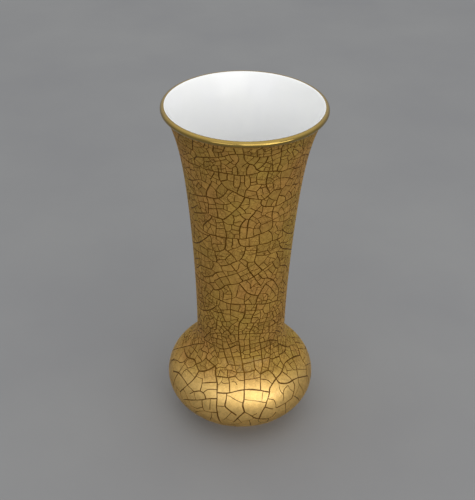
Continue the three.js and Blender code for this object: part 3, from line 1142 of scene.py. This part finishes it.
FLAT_SCALE = 45.0  # millimetres that stand for a radian in the flat layout
FLAT_HALF = math.pi * FLAT_SCALE
GRID_STEP = 3.0  # millimetres between the points inside the plates
LOOKUP_CELL = 2.0  # millimetres
SEAM_ZONE = 0.1  # radians from the back in which a crack is laid at both ends of the layout
MERGE = 1e-4  # millimetres within which points of the layout are one
ON_SEAM = 1e-3  # millimetres within which a point lies on the layout's end
CHIP_AREA = 0.35  # square millimetres: smaller plates have flaked off
COAT_GAP = 0.01  # millimetres between the plates' backs and the ground
PLATE_BACK = GOLD_COAT - COAT_GAP
PLATE_SPLIT = 60.0  # height in millimetres that parts the bulb's plates from the neck's


def ribbon(line, widths, shift):
    """Left and right edges of a crack, in the flat layout."""
    radius = radius_at(line[:, 1])
    along = np.gradient(line, axis=0) * np.stack([radius, np.ones_like(radius)], -1)
    along /= np.maximum(np.linalg.norm(along, axis=1), TINY)[:, None]
    side = np.stack([-along[:, 1] / radius, along[:, 0]], -1) * widths[:, None] / 2
    scale = np.array([FLAT_SCALE, 1.0])
    move = np.array([shift * FLAT_SCALE, 0.0])
    return (line + side) * scale + move, (line - side) * scale + move


def in_triangle(points, a, b, c):
    """Which points lie in a triangle."""
    x, y = points.T
    pairs = ((a, b), (b, c), (c, a))
    signs = np.array([(q[0] - p[0]) * (y - p[1]) - (q[1] - p[1]) * (x - p[0]) for p, q in pairs])
    return (signs >= 0).all(0) | (signs <= 0).all(0)


def in_ribbons(middles, ribbons):
    """Which of the points in the flat layout lie in a crack. In the last row of cells, right under the lip,
    it finds only some of them."""
    columns, rows = np.floor(middles.T / LOOKUP_CELL).astype(int)
    order = np.lexsort((columns, rows))
    cells = {}
    keys, first = np.unique(np.stack([columns, rows], -1)[order], axis=0, return_index=True)
    for key, members in zip(keys.tolist(), np.split(order, first[1:])):
        cells[tuple(key)] = members
    inside = np.zeros(len(middles), bool)
    for left, right in ribbons:
        quads = np.stack([left[:-1], left[1:], right[1:], right[:-1]], 1)
        lows = np.floor(quads.min(1) / LOOKUP_CELL).astype(int).tolist()
        highs = np.floor(quads.max(1) / LOOKUP_CELL).astype(int).tolist()
        for (a, b, c, d), low, high in zip(quads, lows, highs):
            touched = itertools.product(range(low[0], high[0] + 1), range(low[1], high[1] + 1))
            around = [cells[cell] for cell in touched if cell in cells]
            if around:
                around = np.concatenate(around)
                points = middles[around]
                inside[around[in_triangle(points, a, b, c) | in_triangle(points, a, c, d)]] = True
    return inside


def flat_layout():
    """The glaze laid flat and cut along every crack: points, and the triangles that lie in no crack."""
    points = [(-FLAT_HALF, 0.0), (FLAT_HALF, 0.0), (FLAT_HALF, RUN_END), (-FLAT_HALF, RUN_END)]
    edges = [(0, 1), (1, 2), (2, 3), (3, 0)]
    ribbons = []
    for line, widths in net.lines:
        shifts = [0.0]
        shifts += [TURN] if line[:, 0].min() < SEAM_ZONE - math.pi else []
        shifts += [-TURN] if line[:, 0].max() > math.pi - SEAM_ZONE else []
        for shift in shifts:
            left, right = ribbon(line, widths, shift)
            ribbons.append((left, right))
            for side in (left, right):
                first = len(points)
                points += side.tolist()
                edges += [(i, i + 1) for i in range(first, len(points) - 1)]
            edges += [(first - len(left), first), (first - 1, len(points) - 1)]
    run = GRID_STEP / 2
    while run < RUN_END:
        around = 4 * int(TURN * radius_at(run) / GRID_STEP / 4)
        points += [((i / around * 2 - 1) * FLAT_HALF, run) for i in range(around + 1)]
        run += GRID_STEP
    points = [Vector(point) for point in points]
    flat, _, triangles, _, _, _ = delaunay_2d_cdt(points, edges, [], 0, MERGE, False)
    flat = np.array([tuple(v) for v in flat])
    triangles = np.array(triangles)
    middles = flat[triangles].mean(1)
    keep = (np.abs(middles[:, 0]) < FLAT_HALF) & (middles[:, 1] > 0) & (middles[:, 1] < RUN_END)
    triangles, middles = triangles[keep], middles[keep]
    return flat, triangles[~in_ribbons(middles, ribbons)]


def weld_seam(flat, triangles):
    """Joins the layout's two ends, which meet at the back of the vase."""
    left = np.where(np.abs(flat[:, 0] + FLAT_HALF) < ON_SEAM)[0]
    right = np.where(np.abs(flat[:, 0] - FLAT_HALF) < ON_SEAM)[0]
    partner = {round(flat[i, 1], 2): i for i in left}
    goes_to = np.arange(len(flat))
    for i in right:
        goes_to[i] = partner.get(round(flat[i, 1], 2), i)
    return goes_to[triangles]


def label_plates(triangles, count):
    """A number for each triangle's plate: triangles that share an edge are in one plate."""
    parent = list(range(len(triangles)))

    def root(i):
        while parent[i] != i:
            parent[i] = parent[parent[i]]
            i = parent[i]
        return i

    seen = {}
    for t, (i, j, k) in enumerate(triangles.tolist()):
        for a, b in ((i, j), (j, k), (k, i)):
            key = a * count + b if a < b else b * count + a
            other = seen.setdefault(key, t)
            if other != t:
                parent[root(t)] = root(other)
    return np.array([root(i) for i in range(len(triangles))])


def plates_mesh(name, flat, triangles, plate):
    """Closed plates with tops on the gold's outside, as one piece."""
    corners = triangles.astype(np.int64) + plate[:, None].astype(np.int64) * len(flat)
    keys, index = np.unique(corners, return_inverse=True)
    index = index.reshape(-1, 3)
    place = flat[keys % len(flat)]
    angle, run = place[:, 0] / FLAT_SCALE, place[:, 1]
    n = len(keys)
    points = np.concatenate([on_glaze(angle, run, 0.0), on_glaze(angle, run, PLATE_BACK)])
    edges = np.concatenate([index[:, (0, 1)], index[:, (1, 2)], index[:, (2, 0)]])
    forward = edges[:, 0] * n + edges[:, 1]
    backward = edges[:, 1] * n + edges[:, 0]
    rim = edges[~np.isin(forward, backward)]
    walls = np.stack([rim[:, 1], rim[:, 0], rim[:, 0] + n, rim[:, 1] + n], -1)
    tops = index
    backs = index[:, ::-1] + n
    piece = add_mesh(name, points.tolist(), tops.tolist() + backs.tolist() + walls.tolist(), GOLD)
    normals = glaze_facing(angle, run)
    low, high = points[rim[:, 0]], points[rim[:, 1]]
    out = np.cross(normals[rim[:, 0]], high - low)
    out /= -np.maximum(np.linalg.norm(out, axis=1), TINY)[:, None]
    sides = np.repeat(out, 4, axis=0)
    loops = np.concatenate([normals[tops.reshape(-1)], -normals[backs.reshape(-1) - n], sides])
    piece.data.shade_smooth()
    piece.data.normals_split_custom_set(loops.tolist())
    return piece


def make_plates():
    """The gold between the cracks, without its chips, as a piece on the bulb and one on the neck."""
    flat, triangles = flat_layout()
    triangles = weld_seam(flat, triangles)
    triangles = triangles[(triangles[:, 0] != triangles[:, 1]) & (triangles[:, 1] != triangles[:, 2])]
    plate = label_plates(triangles, len(flat))
    a, b, c = (flat[triangles[:, i]] for i in range(3))
    area = np.abs(np.cross(b - a, c - a)) / 2
    _, plate = np.unique(plate, return_inverse=True)
    areas = np.bincount(plate, area)
    height = np.bincount(plate, area * height_at(a[:, 1])) / np.maximum(areas, TINY)
    kept = areas[plate] > CHIP_AREA
    for name, chosen in (
        ("crackle_plates_bulb", height < PLATE_SPLIT),
        ("crackle_plates_neck", height >= PLATE_SPLIT),
    ):
        mine = kept & chosen[plate]
        piece = plates_mesh(name, flat, triangles[mine], plate[mine])
        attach(piece, "root")
        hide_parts("crackle_gold_coat")


make_net()
make_plates()


# Floor, lamps and surroundings

FLOOR_HALF = 40.0


def make_floor():
    corners = [(x * FLOOR_HALF, y * FLOOR_HALF, 0) for x, y in ((-1, -1), (1, -1), (1, 1), (-1, 1))]
    m = Shader("pale_floor")
    tone = m.remap(m.noise(180, detail=4), 0.35, 0.65)
    m.set(Base_Color=m.mix(tone, srgb(144, 144, 144), srgb(139, 139, 140)))
    m.set(Roughness=0.85, Specular_IOR_Level=0.2)
    add_mesh("floor", corners, [(0, 1, 2, 3)], m.material)


LAMP_TARGET = Vector((0.0, 0.0, 0.1))
LAMP_DISTANCE = 2.4
WARM = (1.0, 0.985, 0.96)
COOL = (0.98, 0.99, 1.0)


def make_lamp(name, azimuth, elevation, size, power, colour):
    """A soft lamp of a width and a height, its azimuth in degrees from the front to the right."""
    turn, rise = math.radians(azimuth), math.radians(elevation)
    toward = Vector((math.sin(turn) * math.cos(rise), -math.cos(turn) * math.cos(rise), math.sin(rise)))
    data = bpy.data.lights.new(name, "AREA")
    data.shape = "RECTANGLE"
    data.size, data.size_y = size
    data.energy = power
    data.color = colour
    lamp = bpy.data.objects.new(name, data)
    lamp.location = LAMP_TARGET + toward * LAMP_DISTANCE
    lamp.rotation_mode = "QUATERNION"
    lamp.rotation_quaternion = toward.to_track_quat("Z", "Y")
    bpy.context.scene.collection.objects.link(lamp)


# Strength of the surroundings' light from about level with the vase and from overhead, and how far up, as
# the z of a direction, each of the two begins
LEVEL_LIGHT = 0.45
OVERHEAD_LIGHT = 1.06
LEVEL_TO = 0.2
OVERHEAD_FROM = 0.9
SKY_COLOUR = (0.97, 0.985, 1.0)


def make_world():
    world = bpy.data.worlds.new("studio")
    world.use_nodes = True
    sky = Nodes(world.node_tree)
    direction = sky.add("ShaderNodeTexCoord", "Generated", {})
    rise = sky.add("ShaderNodeSeparateXYZ", "Z", {"Vector": direction})
    strength = sky.remap(rise, LEVEL_TO, OVERHEAD_FROM, LEVEL_LIGHT, OVERHEAD_LIGHT)
    sky.feed(sky.nodes["Background"], {"Color": SKY_COLOUR, "Strength": strength})
    bpy.context.scene.world = world


make_floor()
make_world()
make_lamp("key_lamp", 20, 23, (2.0, 1.9), 16.0, WARM)
make_lamp("low_lamp", 44, 8, (1.6, 0.5), 8.0, WARM)
make_lamp("side_lamp", -27, 16, (1.2, 1.0), 4.5, COOL)

bpy.context.scene.view_settings.view_transform = "Standard"
